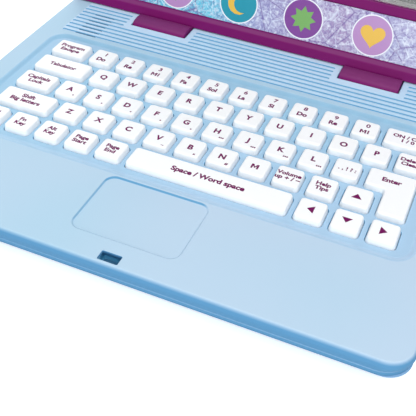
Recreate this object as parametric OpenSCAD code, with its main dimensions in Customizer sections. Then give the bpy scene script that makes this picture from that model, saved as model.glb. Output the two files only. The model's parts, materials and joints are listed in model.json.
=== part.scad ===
// Toy laptop computer: a child's learning computer with a full sprung keyboard, a flat display in
// a folding lid, and a battery bay underneath. It stands on four rubber feet. Lengths are in mm.

/* [Base] */
// Width of the base, left to right
base_w = 268; // [262:1:310]
// Depth of the base, front to back
base_d = 212; // [210:1:240]
// Height of the base from its underside to its top face
base_h = 20; // [19.5:0.5:26]
// Corner radius of the base seen from above
corner_r = 12; // [12:1:24]
// Radius on the top edge of the base
edge_r = 1.8; // [0.8:0.2:2.2]
// Wall thickness of the top and bottom shells
wall = 2.2; // [1.8:0.1:2.6]
// Height of the upright side of the top shell
skirt_h = 9; // [6.6:0.2:9]
// Setback of the bottom shell under the skirt
belly_step = 0.6; // [0.2:0.1:1]
// How far the bottom shell slopes inwards below the skirt
belly_inset = 9.2; // [5:0.1:10]
// Depth of the palm rest, from the front edge to the key recess
palm_d = 58.2; // [56.6:0.1:60]

/* [Keyboard] */
// Spacing of the keys along a row
key_pitch = 17.5; // [17:0.25:18]
// Spacing of the rows
row_pitch = 18.2; // [17.8:0.1:18.6]
// Gap between the caps of neighbouring keys in a row
key_gap = 3.3; // [2.6:0.1:4]
// Gap between the caps of neighbouring rows
row_gap = 3.8; // [2.6:0.1:4.4]
// Corner radius of a key cap
cap_r = 2; // [1.2:0.2:3]
// Height of a cap above the top face of the base
key_proud = 1.4; // [0.8:0.1:1.5]
// Travel of a key
key_travel = 2; // [1:0.25:2]
// Depth of the recess that the keys stand in
recess_deep = 1.6; // [1:0.1:1.8]
// Thickness of the plate that the keys pass through
plate_t = 2; // [1.5:0.1:2.2]
// Width of the recess beyond the keys at each side
recess_side = 5.9; // [4:0.1:8]
// Width of the recess in front of the keys
recess_front = 3.2; // [3:0.1:5.4]
// Width of the recess behind the keys
recess_back = 4.8; // [4.5:0.1:6.5]

/* [Palm rest] */
// Width of the touchpad outline
pad_w = 53.7; // [40:0.1:70]
// Depth of the touchpad outline
pad_d = 38.4; // [25:0.1:40]
// Distance from the front edge to the touchpad outline
pad_front = 15.3; // [12:0.1:17]
// Depth of the touchpad below the palm rest
pad_deep = 0.6; // [0.3:0.1:1]
// Corner radius of the touchpad
pad_r = 5; // [2:0.5:8]
// Width of the latch slot
slot_w = 9.8; // [8:0.1:14]
// Size of the latch slot, front to back
slot_d = 5.3; // [5:0.1:8]
// Distance from the front edge to the latch slot
slot_front = 2.6; // [2.6:0.1:5]

/* [Ribbed panel] */
// Number of grooves between the keys and the lid
groove_n = 9; // [5:1:9]
// Spacing of the grooves
groove_pitch = 3.98; // [3:0.01:3.98]
// Width of a groove
groove_w = 1.3; // [0.8:0.1:1.8]
// Depth of a groove
groove_deep = 0.7; // [0.4:0.1:1.2]
// Distance from the key recess to the first groove
groove_start = 5.7; // [4:0.1:6]
// Grooves that are cut through above the speaker
slot_n = 7; // [3:1:7]
// Length of the speaker slots
slot_len = 13.5; // [8:0.5:18]
// Distance of the speaker's centre from the middle of the base
speaker_x = 105; // [104.6:0.1:106]

/* [Lid] */
// Width of the lid
lid_w = 266; // [258:1:268]
// Thickness of the lid
lid_t = 12; // [11:0.5:14]
// Thickness of the lid's front frame
bezel_t = 4.5; // [4.3:0.1:5]
// Backwards lean of the open lid from upright, in degrees
lid_lean = 15; // [5:1:20]
// Clearance under the closed lid, and between its lower end and the base when open
lid_gap = 0.4; // [0.3:0.1:0.6]
// Width of the raised rim of the lid's front
rim_w = 8.2; // [7:0.5:12]
// Depth of the field inside the rim
field_deep = 2.2; // [2:0.1:2.4]
// Thickness of the printed panel
print_t = 0.4; // [0.2:0.1:0.6]
// Width of the display surround
surround_w = 180; // [140:1:200]
// Height of the display surround
surround_h = 115; // [80:1:120]
// Height of the display surround above the base
surround_up = 35.4; // [26:0.1:38]
// Width of the surround's bar around the display window
surround_bar = 5.7; // [4:0.1:10]

/* [Hinge] */
// Depth of the hinge axis below the top face of the base
hinge_deep = 4; // [3.6:0.1:4.6]
// Distance of the hinge axis from the back edge of the base
hinge_back = 19.5; // [18.2:0.1:24]
// Radius of the hinge barrels
barrel_r = 7.6; // [7.6:0.1:8.6]
// Length of a hinge barrel
barrel_w = 35.4; // [24:0.1:40]
// Distance of a barrel's centre from the middle of the base
barrel_x = 66.7; // [64:0.1:68]
// Radius of the hinge pins
pin_r = 2; // [1.5:0.1:2.5]

/* [Inside] */
// Radius of a battery cell
cell_r = 7.1; // [6.8:0.05:7.15]
// Length of a battery cell
cell_len = 50; // [48:0.5:51]
// Distance of the battery bay from the left side of the base
bay_side = 45.5; // [43:0.5:52]
// Radius of the speaker
speaker_r = 14; // [10:0.5:14]
// Radius of a rubber foot
foot_r = 7; // [5:0.5:8]
// Distance of the centre of a rubber foot from the side of the base
foot_side = 30; // [26:0.5:30]
// Height of a rubber foot below the base
foot_h = 1.5; // [1:0.25:3]
// Thickness of the circuit boards
board_t = 1.6; // [1:0.1:1.8]

/* [Hidden] */
$fn = 48;
eps = 0.01;
// Clearances between pieces that move past each other, or are let into each other
run_clear = 0.4;
pin_clear = 0.05;
seat_clear = 0.25;

// Heights
base_z = foot_h;
top_z = base_z + base_h;
split_z = top_z - skirt_h;
floor_z = base_z + 2;
ceil_z = top_z - wall;
recess_z = top_z - recess_deep;
plate_z = recess_z - plate_t;
cap_z = top_z + key_proud;
flange_t = 1.2;
flange_w = 0.9;
flange_z = plate_z - 0.3;
hole_r = 1.1;
plunger_r = 2.5;
plunger_z = flange_z - flange_t - 1.1;
dome_r = 4;
sheet_t = 0.8;
dome_z = plunger_z - 0.1;
sheet_z = dome_z - key_travel;
board_z = sheet_z - sheet_t;

// Key rows from the back of the recess to the front. Each entry holds a node, the width of one of
// its keys in key spacings, and how many keys stand side by side in it.
ROWS = [
    [["key_escape", 1.4, 1], ["key_1", 1, 1], ["key_2", 1, 1], ["key_3", 1, 1], ["key_4", 1, 1],
     ["key_5", 1, 1], ["key_6", 1, 1], ["key_7", 1, 1], ["key_8", 1, 1], ["key_9", 1, 1],
     ["key_0", 1, 1], ["key_on_off", 1.6, 1]],
    [["key_tab", 2, 1], ["key_q", 1, 1], ["key_w", 1, 1], ["key_e", 1, 1], ["key_r", 1, 1],
     ["key_t", 1, 1], ["key_y", 1, 1], ["key_u", 1, 1], ["key_i", 1, 1], ["key_o", 1, 1],
     ["key_p", 1, 1], ["key_delete", 1, 1]],
    [["key_caps_lock", 1.4, 1], ["keys_home_row", 1, 9], ["key_marks", 1, 1],
     ["key_enter", 1.6, 1]],
    [["key_shift", 2, 1], ["keys_lower_row", 1, 7], ["key_volume", 1, 1], ["key_help", 1, 1],
     ["key_up", 1, 1]],
    [["key_control", 1, 1], ["key_function", 1, 1], ["key_alt", 1, 1], ["key_home", 1, 1],
     ["key_end", 1, 1], ["key_space", 5, 1], ["key_left", 1, 1], ["key_down", 1, 1],
     ["key_right", 1, 1]],
];
row_units = 13;
row_n = len(ROWS);

function units_before(row, i) = i == 0 ? 0
    : units_before(row, i - 1) + ROWS[row][i - 1][1] * ROWS[row][i - 1][2];
KEYS = [for (r = [0:row_n - 1]) for (i = [0:len(ROWS[r]) - 1])
    [ROWS[r][i][0], r, units_before(r, i), ROWS[r][i][1], ROWS[r][i][2]]];

// Plan places, measured from the middle and the front edge of the base
kb_w = row_units * key_pitch;
recess_w = kb_w + 2 * recess_side;
recess_d = row_n * row_pitch + recess_front + recess_back;
recess_end = palm_d + recess_d;
recess_r = 6;
groove_len = recess_w;
function groove_y(k) = recess_end + groove_start + k * groove_pitch;
speaker_y = (groove_y(0) + groove_y(slot_n - 1)) / 2;
function key_x(k, c) = (k[2] + (c + 0.5) * k[3] - row_units / 2) * key_pitch;
function row_y(r) = palm_d + recess_front + (row_n - r - 0.5) * row_pitch;

// Hinge and lid. The closed lid lies lid_gap above the base, which sets how far its front face
// passes behind the axis when it is open.
hinge_y = base_d - hinge_back;
hinge_z = top_z - hinge_deep;
face = hinge_deep + lid_gap;
lid_back = face + lid_t;
lid_top = hinge_y;
foot_up = (hinge_deep + face * sin(lid_lean)) / cos(lid_lean);
lid_low = foot_up + lid_gap;
lid_edge_r = 4;
bezel_back = face + bezel_t;
lid_wall = 2;
field_floor = face + field_deep;
floor_t = 1.5;
cavity_low = lid_low + lid_t * tan(lid_lean) + lid_wall;
// Radius and rise of the barrels' crowned top
crown_r = 18;
crown_up = 2.4;
pocket_r = barrel_r + run_clear;
pocket_side = 0.5;
pocket_back = 11.2;
well_wall = 2;

// Whole object: its middle, front to back, is the origin
whole_back = hinge_y + cos(lid_lean) * (lid_back - lid_edge_r)
    + sin(lid_lean) * (lid_top - lid_edge_r) + lid_edge_r;
mid_y = whole_back / 2;

// Display
surround_low = foot_up + surround_up;
surround_mid = surround_low + surround_h / 2;
surround_rise = 0.8;
window_w = surround_w - 2 * surround_bar;
window_h = surround_h - 2 * surround_bar;
window_t = 1;
window_ledge = 3;
display_t = 4;
display_back = field_floor + floor_t + display_t;

// Latch
hook_w = slot_w - 2;
hook_t = 2.2;
hook_len = 6.2;
hook_y = lid_top - slot_front - slot_d / 2;

// Fasteners
screw_r = 1.2;
screw_clear = 0.05;
head_r = 2.8;
head_h = 1.9;
boss_r = 3.5;
tube_r = 4.5;
boss_z = split_z - 2;
corner_in = 18;
CASE_SCREWS = [
    [-base_w / 2 + corner_in, 16], [base_w / 2 - corner_in, 16],
    [-base_w / 2 + corner_in, base_d - 16], [base_w / 2 - corner_in, base_d - 16],
    [-38, recess_end + 3.6], [38, recess_end + 3.6]];
LID_SCREWS = [for (x = [-1, 1]) for (y = [cavity_low + 8, lid_top - 12])
    [x * (lid_w / 2 - 13), y]];

// Key board, under the keys
key_board_w = kb_w + 10;
key_board_low = palm_d + recess_front - 1;
key_board_high = recess_end - 1.7;

// Battery bay, in the palm rest
bay_n = 3;
bay_step = 2 * cell_r + 0.6;
bay_w = cell_len + 3;
bay_x = bay_side + bay_w / 2 - base_w / 2;
bay_d = bay_n * bay_step + 1;
bay_wall = 1.5;
bay_low = key_board_low - 1 - bay_wall - bay_d;
bay_top = base_z + 15.5;
bay_y = bay_low + bay_d / 2;
door_t = 1.2;
door_lip = 2.5;
cell_z = base_z + door_t + 0.05 + cell_r;
contact_t = 0.4;
door_screw_x = bay_x + bay_w / 2 + 9;
door_screw_r = 4.5;
door_left = bay_x - bay_w / 2 - door_lip;
door_right = door_screw_x + 6.5;
door_d = bay_d + 1;

// Main board, behind the keys
main_w = 72;
main_d = 32;
main_y = base_d - 27;
main_z = base_z + 5.5;
FEET = [for (x = [-1, 1]) for (y = [26, base_d - 23]) [x * (base_w / 2 - foot_side), y]];

module in_base() {
    translate([0, -mid_y, 0]) children();
}

// The lid's own frame: the hinge axis along X, +Y up the lid, and the front face towards +Z
module in_lid() {
    translate([0, hinge_y - mid_y, hinge_z]) rotate([90 - lid_lean, 0, 0]) children();
}

module rrect(w, d, r) {
    square([w - 2 * r, d], center = true);
    square([w, d - 2 * r], center = true);
    for (x = [-1, 1]) for (y = [-1, 1])
        translate([x * (w / 2 - r), y * (d / 2 - r)]) circle(r);
}

module bar_outline(w, h, e) {
    intersection() {
        translate([-w / 2, 0]) square([w, h]);
        union() {
            translate([-w / 2, 0]) square([w, h - e]);
            translate([-w / 2 + e, 0]) square([w - 2 * e, h]);
            for (x = [-1, 1]) translate([x * (w / 2 - e), h - e]) circle(e);
        }
    }
}

// A block with round corners of radius r, whose upper edge is rounded by e
module soft_block(w, d, r, h, e) {
    rotate([90, 0, 0]) linear_extrude(d - 2 * r, center = true) bar_outline(w, h, e);
    rotate([90, 0, 90]) linear_extrude(w - 2 * r, center = true) bar_outline(d, h, e);
    for (x = [-1, 1]) for (y = [-1, 1])
        translate([x * (w / 2 - r), y * (d / 2 - r), 0]) rotate_extrude() {
            square([r, h - e]);
            square([r - e, h]);
            translate([r - e, h - e]) intersection() {
                circle(e);
                square(e);
            }
        }
}

module slope_outline(w, h, inset) {
    polygon([[-w / 2 + inset, 0], [w / 2 - inset, 0], [w / 2, h], [-w / 2, h]]);
}

// A tub that is w by d at the top and narrows by inset on every side at the bottom
module tub(w, d, r, h, inset) {
    corner = max(r, inset + 0.3);
    rotate([90, 0, 0]) linear_extrude(d - 2 * corner, center = true) slope_outline(w, h, inset);
    rotate([90, 0, 90]) linear_extrude(w - 2 * corner, center = true)
        slope_outline(d, h, inset);
    for (x = [-1, 1]) for (y = [-1, 1])
        translate([x * (w / 2 - corner), y * (d / 2 - corner), 0])
            cylinder(h = h, r1 = corner - inset, r2 = corner);
}

// Outline of a key cap, or of the hole or flange that is larger by grow, with corner radius r.
// The enter key reaches one key wide into the row in front of it.
module key_outline(k, grow, r) {
    cap_w = k[3] * key_pitch - key_gap + 2 * grow;
    cap_d = row_pitch - row_gap + 2 * grow;
    rrect(cap_w, cap_d, r);
    if (k[0] == "key_enter") {
        arm_w = key_pitch - key_gap + 2 * grow;
        translate([(cap_w - arm_w) / 2, -row_pitch / 2]) rrect(arm_w, cap_d + row_pitch, r);
    }
}

module at_keys(k) {
    for (c = [0:k[4] - 1]) translate([key_x(k, c), row_y(k[1]), 0]) children();
}

module at_plungers(k) {
    spread = k[3] > 3 ? [-1, 0, 1] : [0];
    at_keys(k) for (s = spread) translate([s * k[3] * key_pitch / 3, 0, 0]) children();
}

module key_cap(k) {
    color("white") in_base() {
        at_keys(k) {
            translate([0, 0, flange_z - flange_t]) linear_extrude(cap_z - flange_z + flange_t)
                key_outline(k, 0, cap_r);
            translate([0, 0, flange_z - flange_t]) linear_extrude(flange_t)
                key_outline(k, flange_w, cap_r);
        }
        at_plungers(k) translate([0, 0, plunger_z])
            cylinder(h = flange_z - plunger_z - 0.1, r = plunger_r);
    }
}

// Section of the pocket that a barrel turns in, or of the well around it, larger by grow
module pocket_outline(grow = 0) {
    r = pocket_r + grow;
    back = pocket_back + grow;
    circle(r);
    polygon([[0, -hinge_deep / 2], [r + run_clear, -hinge_deep / 2], [back, hinge_deep],
             [back, hinge_deep + 4], [0, hinge_deep + 4]]);
}

module at_hinges() {
    for (x = [-1, 1]) translate([x * barrel_x, hinge_y, hinge_z]) children();
}

module grooves() {
    clear = barrel_w / 2 + pocket_side + 4;
    for (k = [0:groove_n - 1])
        translate([0, groove_y(k), top_z - groove_deep]) difference() {
            translate([-groove_len / 2, -groove_w / 2, 0])
                cube([groove_len, groove_w, groove_deep + 1]);
            if (groove_y(k) > hinge_y - pocket_r - 1)
                for (x = [-1, 1]) translate([x * barrel_x - clear, -groove_w, -1])
                    cube([2 * clear, 2 * groove_w, groove_deep + 3]);
        }
}

module base_top_shell() {
    well_w = barrel_w + 2 * pocket_side + 2 * well_wall;
    color("lightblue") in_base() difference() {
        union() {
            difference() {
                translate([0, base_d / 2, split_z])
                    soft_block(base_w, base_d, corner_r, skirt_h, edge_r);
                translate([0, base_d / 2, split_z - 1])
                    linear_extrude(ceil_z - split_z + 1)
                        rrect(base_w - 2 * wall, base_d - 2 * wall, corner_r - wall);
            }
            translate([0, palm_d + recess_d / 2, plate_z])
                linear_extrude(ceil_z - plate_z + 0.2)
                    rrect(recess_w + 2 * wall, recess_d + 2 * wall, recess_r + wall);
            at_hinges() rotate([90, 0, 90]) linear_extrude(well_w, center = true)
                intersection() {
                    pocket_outline(well_wall);
                    translate([-20, hinge_deep - wall / 2 - 40]) square(40);
                }
            for (p = CASE_SCREWS) translate([p[0], p[1], boss_z])
                cylinder(h = ceil_z - boss_z + 0.2, r = boss_r);
            translate([-speaker_x, speaker_y, ceil_z - 4])
                cylinder(h = 4.2, r = speaker_r + 1.8);
        }
        translate([0, palm_d + recess_d / 2, recess_z]) linear_extrude(recess_deep + 1)
            rrect(recess_w, recess_d, recess_r);
        for (k = KEYS) at_keys(k) translate([0, 0, plate_z - 1])
            linear_extrude(plate_t + 2) key_outline(k, run_clear, hole_r);
        translate([0, pad_front + pad_d / 2, top_z - pad_deep]) linear_extrude(pad_deep + 1)
            rrect(pad_w, pad_d, pad_r);
        translate([-slot_w / 2, slot_front, ceil_z - 1]) cube([slot_w, slot_d, wall + 2]);
        grooves();
        for (k = [0:slot_n - 1])
            translate([-speaker_x - slot_len / 2, groove_y(k) - groove_w / 2, ceil_z - 1])
                cube([slot_len, groove_w, wall + 2]);
        translate([-speaker_x, speaker_y, ceil_z - 5]) cylinder(h = 5, r = speaker_r + 0.1);
        at_hinges() {
            rotate([90, 0, 90]) linear_extrude(barrel_w + 2 * pocket_side, center = true)
                pocket_outline();
            rotate([0, 90, 0]) cylinder(h = well_w + 2, r = pin_r + pin_clear, center = true);
        }
        for (p = CASE_SCREWS) translate([p[0], p[1], boss_z - 1])
            cylinder(h = ceil_z - boss_z + 0.5, r = screw_r + screw_clear);
    }
}

module bay_floor_cut() {
    translate([bay_x - bay_w / 2, bay_low, base_z - 1]) cube([bay_w, bay_d, 4]);
    translate([door_left - seat_clear, bay_y - door_d / 2 - seat_clear, base_z - 1])
        cube([door_right - door_left + 2 * seat_clear, door_d + 2 * seat_clear, 1 + door_t]);
}

module base_bottom_shell() {
    tub_w = base_w - 2 * belly_step;
    tub_d = base_d - 2 * belly_step;
    tub_h = split_z - base_z;
    in_h = split_z - floor_z;
    post = board_z - board_t - floor_z;
    color("lightblue") in_base() difference() {
        union() {
            difference() {
                translate([0, base_d / 2, base_z])
                    tub(tub_w, tub_d, corner_r - belly_step, tub_h, belly_inset);
                translate([0, base_d / 2, floor_z])
                    tub(tub_w - 2 * wall, tub_d - 2 * wall, corner_r - belly_step - wall,
                        in_h + eps, belly_inset * in_h / tub_h);
            }
            translate([bay_x - bay_w / 2 - bay_wall, bay_low - bay_wall, base_z + 1])
                cube([bay_w + 2 * bay_wall, bay_d + 2 * bay_wall, bay_top - base_z - 1]);
            translate([door_screw_x, bay_y, base_z + 1])
                cylinder(h = 9, r = door_screw_r + 2.3);
            for (p = CASE_SCREWS) translate([p[0], p[1], base_z])
                cylinder(h = boss_z - base_z, r = tube_r);
            for (x = [-100, 0, 100]) for (t = [0.07, 0.5, 0.93])
                translate([x, key_board_low + t * (key_board_high - key_board_low), floor_z - 1])
                    cylinder(h = post + 1, r = 3);
            for (x = [-1, 1]) for (y = [-1, 1])
                translate([x * (main_w / 2 - 4), main_y + y * (main_d / 2 - 4), floor_z - 1])
                    cylinder(h = main_z - floor_z + 1, r = 2.5);
        }
        translate([bay_x - bay_w / 2, bay_low, floor_z - 1])
            cube([bay_w, bay_d, bay_top - floor_z + 2]);
        bay_floor_cut();
        translate([door_screw_x, bay_y, base_z - 1]) {
            cylinder(h = 4.4, r = door_screw_r + seat_clear);
            cylinder(h = 9.5, r = screw_r + screw_clear);
        }
        for (p = CASE_SCREWS) translate([p[0], p[1], base_z - 1]) {
            cylinder(h = 3.5, r = head_r + 0.4);
            cylinder(h = boss_z, r = screw_r + 0.4);
        }
        for (p = FEET) translate([p[0], p[1], base_z - 1]) cylinder(h = 1.5, r = foot_r);
    }
}

module battery_door() {
    color("lightskyblue") in_base() difference() {
        union() {
            translate([door_left, bay_y - door_d / 2, base_z])
                cube([door_right - door_left, door_d, door_t]);
            translate([door_screw_x, bay_y, base_z]) cylinder(h = 3.3, r = door_screw_r);
        }
        translate([door_screw_x, bay_y, base_z - 1]) {
            cylinder(h = 3, r = head_r + 0.3);
            cylinder(h = 6, r = screw_r + 0.4);
        }
    }
}

module at_cells() {
    for (i = [0:bay_n - 1])
        translate([bay_x, bay_y + (i - (bay_n - 1) / 2) * bay_step, cell_z])
            rotate([0, i % 2 == 0 ? 90 : -90, 0]) children();
}

module battery_cells() {
    nub = 1.5;
    color("dimgray") in_base() at_cells() {
        translate([0, 0, -cell_len / 2]) cylinder(h = cell_len - nub, r = cell_r);
        translate([0, 0, cell_len / 2 - nub - eps]) cylinder(h = nub + eps, r = 2.7);
    }
}

module battery_contacts() {
    color("silver") in_base() at_cells() for (s = [-1, 1]) {
        translate([-5, -5, s * (bay_w / 2 - contact_t / 2) - contact_t / 2])
            cube([10, 10, contact_t]);
        translate([0, 0, s * (bay_w + cell_len) / 4])
            cylinder(h = (bay_w - cell_len) / 2, r = 3, center = true);
    }
}

module case_screws() {
    color("silver") in_base() {
        for (p = CASE_SCREWS) translate([p[0], p[1], base_z + 2.5]) {
            translate([0, 0, -head_h]) cylinder(h = head_h, r = head_r);
            translate([0, 0, -eps]) cylinder(h = ceil_z - base_z - 4.5, r = screw_r);
        }
        translate([door_screw_x, bay_y, base_z + 2]) {
            translate([0, 0, -head_h]) cylinder(h = head_h, r = head_r);
            translate([0, 0, -eps]) cylinder(h = 6, r = screw_r);
        }
    }
}

module rubber_feet() {
    color("dimgray") in_base() for (p = FEET) translate([p[0], p[1], 0])
        cylinder(h = foot_h + 0.5, r = foot_r);
}

module key_membrane() {
    color("gainsboro") in_base() {
        translate([-key_board_w / 2, key_board_low, board_z])
            cube([key_board_w, key_board_high - key_board_low, sheet_t]);
        for (k = KEYS) at_plungers(k) translate([0, 0, sheet_z - eps])
            cylinder(h = dome_z - sheet_z + eps, r1 = dome_r, r2 = plunger_r);
    }
}

module key_board() {
    color("darkgreen") in_base()
        translate([-key_board_w / 2, key_board_low, board_z - board_t])
            cube([key_board_w, key_board_high - key_board_low, board_t]);
}

module main_board() {
    color("darkgreen") in_base() translate([0, main_y, main_z]) {
        translate([-main_w / 2, -main_d / 2, 0]) cube([main_w, main_d, board_t]);
        translate([0, 0, board_t - eps]) {
            cylinder(h = 2, r = 6);
            translate([-28, -9, 0]) cube([14, 10, 1.6]);
            translate([14, -11, 0]) cube([5, 22, 5]);
        }
    }
}

module speaker() {
    color("dimgray") in_base() translate([-speaker_x, speaker_y, ceil_z]) {
        translate([0, 0, -2]) cylinder(h = 2, r = speaker_r);
        translate([0, 0, -4.8]) cylinder(h = 2.8 + eps, r1 = speaker_r - 5, r2 = speaker_r - 2);
        translate([0, 0, -7.6]) cylinder(h = 2.8 + eps, r = speaker_r - 7);
    }
}

module hinge_pins() {
    color("silver") in_base() at_hinges() rotate([0, 90, 0])
        cylinder(h = barrel_w + 2 * pocket_side + 2 * well_wall, r = pin_r, center = true);
}

// Front outline of the lid, from its hinge end to its free end
module lid_outline(inset = 0, low = lid_low) {
    len = lid_top - inset - low;
    translate([0, low + len / 2]) rrect(lid_w - 2 * inset, len, corner_r - inset);
    translate([0, low + 20]) rrect(lid_w - 2 * inset, 40, 4 - inset / 2);
}

// What lies below the top face of the base when the lid is open, less a clearance
module under_lid() {
    rotate([lid_lean - 90, 0, 0]) translate([-lid_w, -lid_w, hinge_deep + lid_gap - lid_w])
        cube([2 * lid_w, 2 * lid_w, lid_w]);
}

module barrel_outline() {
    crown_y = (foot_up * sin(lid_lean) + face * cos(lid_lean) - barrel_r) / 2 + 1.5;
    intersection() {
        circle(barrel_r);
        rotate(lid_lean - 90) translate([crown_y, hinge_deep + crown_up - crown_r])
            circle(crown_r, $fn = 96);
    }
    polygon([[1, -face], [foot_up + 3, -face], [foot_up + 3, -bezel_back],
             [foot_up + 1.7, -bezel_back], [-1, 0.4 - barrel_r], [-1, -face]]);
}

module lid_bezel() {
    field_w = lid_w - 2 * rim_w;
    field_low = foot_up + rim_w;
    field_high = lid_top - rim_w;
    color("purple") in_lid() difference() {
        union() {
            difference() {
                translate([0, 0, -bezel_back]) linear_extrude(bezel_t) lid_outline();
                translate([0, 0, -bezel_back - 1])
                    linear_extrude(1 + bezel_back - field_floor - floor_t)
                        lid_outline(lid_wall, cavity_low);
                translate([0, (field_low + field_high) / 2, -field_floor])
                    linear_extrude(field_deep + 1)
                        rrect(field_w, field_high - field_low, corner_r / 2);
                under_lid();
            }
            translate([0, surround_mid, -field_floor - 0.1])
                linear_extrude(surround_rise + 0.1) rrect(surround_w, surround_h, 5);
            for (x = [-1, 1]) translate([x * barrel_x, 0, 0])
                rotate([90, 0, 90]) linear_extrude(barrel_w, center = true) barrel_outline();
            for (p = LID_SCREWS) translate([p[0], p[1], lid_wall - lid_back])
                cylinder(h = lid_back - lid_wall - field_floor, r = boss_r);
            translate([-hook_w / 2, hook_y - hook_t / 2, -face - 1])
                cube([hook_w, hook_t, hook_len + 1]);
            translate([-hook_w / 2, hook_y - hook_t / 2 - 1, hook_len - face - 1.5])
                cube([hook_w, hook_t, 1.5]);
        }
        translate([0, surround_mid, -field_floor - window_t]) linear_extrude(window_t + 2)
            rrect(window_w, window_h, 3);
        translate([0, surround_mid, -bezel_back - 1]) linear_extrude(bezel_t)
            rrect(window_w - 2 * window_ledge, window_h - 2 * window_ledge, 1);
        rotate([0, 90, 0])
            cylinder(h = 2 * barrel_x + barrel_w + 2, r = pin_r + pin_clear, center = true);
        for (p = LID_SCREWS) translate([p[0], p[1], -lid_back])
            cylinder(h = lid_back - field_floor - 1, r = screw_r + screw_clear);
    }
}

module lid_cover() {
    depth = lid_back - bezel_back;
    cover_len = lid_top - lid_low;
    pad_h = lid_back - lid_wall - display_back - board_t;
    color("purple") in_lid() {
        for (x = [-1, 1]) for (y = [-1, 1])
            translate([x * window_w / 3, surround_mid + y * window_h / 3, lid_wall - lid_back - eps])
                cylinder(h = pad_h + eps, r = 4);
        difference() {
            translate([0, lid_low + cover_len / 2, -bezel_back]) rotate([180, 0, 0])
                soft_block(lid_w, cover_len, corner_r, depth, lid_edge_r);
            translate([0, 0, lid_wall - lid_back]) linear_extrude(depth)
                lid_outline(lid_wall, cavity_low);
            under_lid();
            for (p = LID_SCREWS) translate([p[0], p[1], -lid_back - 1]) {
                cylinder(h = 2.6, r = head_r + 0.4);
                cylinder(h = 5, r = screw_r + 0.4);
            }
        }
    }
}

module print_panel() {
    clear = 0.3;
    field_low = foot_up + rim_w;
    field_high = lid_top - rim_w;
    color("lightcyan") in_lid() translate([0, 0, -field_floor]) linear_extrude(print_t)
        difference() {
            translate([0, (field_low + field_high) / 2])
                rrect(lid_w - 2 * rim_w - 2 * clear, field_high - field_low - 2 * clear,
                      corner_r / 2 - clear);
            translate([0, surround_mid])
                rrect(surround_w + 2 * clear, surround_h + 2 * clear, 5 + clear);
        }
}

module screen_window() {
    color([0.3, 0.35, 0.35, 0.5]) in_lid()
        translate([0, surround_mid, -field_floor - window_t]) linear_extrude(window_t)
            rrect(window_w - seat_clear, window_h - seat_clear, 3 - seat_clear / 2);
}

module display_module() {
    color("darkolivegreen") in_lid() translate([0, surround_mid, -display_back]) {
        translate([-window_w / 2, -window_h / 2, 0]) cube([window_w, window_h, display_t]);
        translate([-window_w / 2 + 5, -window_h / 2 + 5, -board_t])
            cube([window_w - 10, window_h - 10, board_t + eps]);
    }
}

module lid_screws() {
    color("silver") in_lid() for (p = LID_SCREWS) translate([p[0], p[1], 1.6 - lid_back]) {
        translate([0, 0, -1.4]) cylinder(h = 1.4, r = head_r);
        translate([0, 0, -eps]) cylinder(h = lid_back - field_floor - 3, r = screw_r);
    }
}

base_top_shell();
base_bottom_shell();
battery_door();
battery_cells();
battery_contacts();
case_screws();
rubber_feet();
key_membrane();
key_board();
main_board();
speaker();
hinge_pins();
lid_bezel();
lid_cover();
print_panel();
screen_window();
display_module();
lid_screws();
for (k = KEYS) key_cap(k);
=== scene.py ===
import json
import math
import bmesh
import bpy
from mathutils import Matrix, Vector


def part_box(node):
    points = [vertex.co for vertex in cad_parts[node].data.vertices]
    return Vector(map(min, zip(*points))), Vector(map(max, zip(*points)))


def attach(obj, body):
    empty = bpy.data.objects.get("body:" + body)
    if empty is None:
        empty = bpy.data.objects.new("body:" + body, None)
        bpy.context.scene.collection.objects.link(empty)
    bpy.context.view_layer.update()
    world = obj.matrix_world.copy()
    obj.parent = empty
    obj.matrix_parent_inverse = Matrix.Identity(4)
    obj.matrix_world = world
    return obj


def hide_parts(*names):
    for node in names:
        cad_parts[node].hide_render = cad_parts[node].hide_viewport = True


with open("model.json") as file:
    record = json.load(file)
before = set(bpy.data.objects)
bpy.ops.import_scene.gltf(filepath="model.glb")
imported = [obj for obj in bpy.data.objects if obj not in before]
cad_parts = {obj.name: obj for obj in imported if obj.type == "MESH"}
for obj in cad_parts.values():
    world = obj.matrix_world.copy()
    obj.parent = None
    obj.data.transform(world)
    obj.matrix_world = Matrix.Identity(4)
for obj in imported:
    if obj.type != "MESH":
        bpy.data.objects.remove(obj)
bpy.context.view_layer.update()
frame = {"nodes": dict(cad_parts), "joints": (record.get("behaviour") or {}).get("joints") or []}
mm = 0.001


# ---- Camera -------------------------------------------------------------------------------
# A close view from the front right, looking down on the keys, so that the base's right front
# corner fills the foreground and only the foot of the lid is in the picture.
picture = 416
focal_px = 790.5
middle_px = (234.2, 181.1)
eye = (127.9 * mm, -326.9 * mm, 270.8 * mm)
azimuth = math.radians(19.80)
elevation = math.radians(40.63)
roll = math.radians(3.72)
sight = Vector((-math.sin(azimuth) * math.cos(elevation), math.cos(azimuth) * math.cos(elevation),
                -math.sin(elevation)))
level = sight.cross(Vector((0, 0, 1))).normalized()
upright = level.cross(sight)
rightward = level * math.cos(roll) + upright * math.sin(roll)
upward = upright * math.cos(roll) - level * math.sin(roll)
camera = bpy.data.objects.new("camera", bpy.data.cameras.new("camera"))
aim = Matrix((rightward, upward, -sight)).transposed().to_4x4()
camera.matrix_world = Matrix.Translation(eye) @ aim
camera.data.sensor_width = 36
camera.data.lens = camera.data.sensor_width * focal_px / picture
camera.data.shift_x = (picture / 2 - middle_px[0]) / picture
camera.data.shift_y = (middle_px[1] - picture / 2) / picture
camera.data.clip_start = 0.01
bpy.context.scene.collection.objects.link(camera)
bpy.context.scene.camera = camera
bpy.context.scene.view_settings.view_transform = "Standard"


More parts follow.
